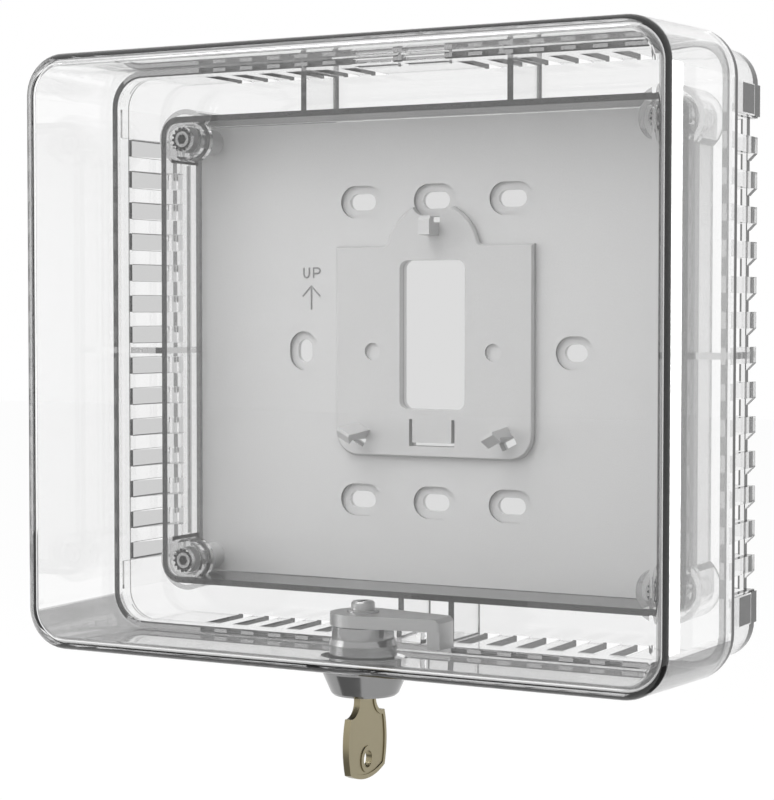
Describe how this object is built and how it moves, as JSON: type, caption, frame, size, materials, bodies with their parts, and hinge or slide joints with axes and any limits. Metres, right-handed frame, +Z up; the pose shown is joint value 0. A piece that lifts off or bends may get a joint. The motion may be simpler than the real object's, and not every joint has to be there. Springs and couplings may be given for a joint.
{
  "type": "thermostat lock box",
  "caption": "Clear lockable box for a wall thermostat: a grey back plate, a slotted clear ring, and a deep clear cover that hooks on at the top and is held by a keyed cam lock.",
  "frame": {"origin": "on the wall, at the middle of the four corner slots of the wall plate", "axes": "+Z up, +X to the right as seen from the room, +Y into the wall"},
  "size_m": [0.1862, 0.068, 0.1918],
  "materials": {
    "clear_cover": "clear gloss",
    "clear_ring": "clear gloss",
    "plate_grey": "fine satin",
    "screw_steel": "zinc",
    "lock_metal": "satin nickel",
    "cam_steel": "zinc",
    "spring_steel": "bright",
    "wafer_brass": "bright",
    "key_brass": "satin"
  },
  "bodies": {
    "base": {"wall_plate": "plate_grey", "ring_base": "clear_ring", "ring_screw_1": "screw_steel", "ring_screw_2": "screw_steel", "ring_screw_3": "screw_steel", "ring_screw_4": "screw_steel"},
    "cover_body": {"cover": "clear_cover", "lock_housing": "lock_metal", "lock_washer": "lock_metal", "lock_nut": "lock_metal"},
    "plug_body": {"lock_plug": "lock_metal", "wafer_spring_1": "spring_steel", "wafer_spring_2": "spring_steel", "wafer_spring_3": "spring_steel", "wafer_spring_4": "spring_steel", "wafer_spring_5": "spring_steel", "cam": "cam_steel", "cam_washer": "cam_steel", "cam_screw": "cam_steel"},
    "key_body": {"key": "key_brass"},
    "wafer_body_1": {"wafer_1": "wafer_brass"},
    "wafer_body_2": {"wafer_2": "wafer_brass"},
    "wafer_body_3": {"wafer_3": "wafer_brass"},
    "wafer_body_4": {"wafer_4": "wafer_brass"},
    "wafer_body_5": {"wafer_5": "wafer_brass"}
  },
  "joints": [
    {"name": "cover_swing", "type": "hinge", "parent": "base", "child": "cover_body", "pos_m": [0, -0.0233, 0.0788], "axis": [-1, 0, 0], "range_deg": [0, 70]},
    {"name": "plug_turn", "type": "hinge", "parent": "cover_body", "child": "plug_body", "pos_m": [0, -0.0435, 0], "axis": [0, 0, 1], "range_deg": [0, 90]},
    {"name": "key_withdraw", "type": "slide", "parent": "plug_body", "child": "key_body", "axis": [0, 0, -1], "range_m": [0, 0.02]},
    {"name": "wafer_slide_1", "type": "slide", "parent": "plug_body", "child": "wafer_body_1", "axis": [0, -1, 0], "range_m": [0, 0.0006]},
    {"name": "wafer_slide_2", "type": "slide", "parent": "plug_body", "child": "wafer_body_2", "axis": [0, 1, 0], "range_m": [0, 0.0006]},
    {"name": "wafer_slide_3", "type": "slide", "parent": "plug_body", "child": "wafer_body_3", "axis": [0, -1, 0], "range_m": [0, 0.0006]},
    {"name": "wafer_slide_4", "type": "slide", "parent": "plug_body", "child": "wafer_body_4", "axis": [0, 1, 0], "range_m": [0, 0.0006]},
    {"name": "wafer_slide_5", "type": "slide", "parent": "plug_body", "child": "wafer_body_5", "axis": [0, -1, 0], "range_m": [0, 0.0006]}
  ],
  "couplings": [
    {"joint": "wafer_slide_1", "follows": "key_withdraw", "ratio": 0.03},
    {"joint": "wafer_slide_2", "follows": "key_withdraw", "ratio": 0.03},
    {"joint": "wafer_slide_3", "follows": "key_withdraw", "ratio": 0.03},
    {"joint": "wafer_slide_4", "follows": "key_withdraw", "ratio": 0.03},
    {"joint": "wafer_slide_5", "follows": "key_withdraw", "ratio": 0.03}
  ]
}
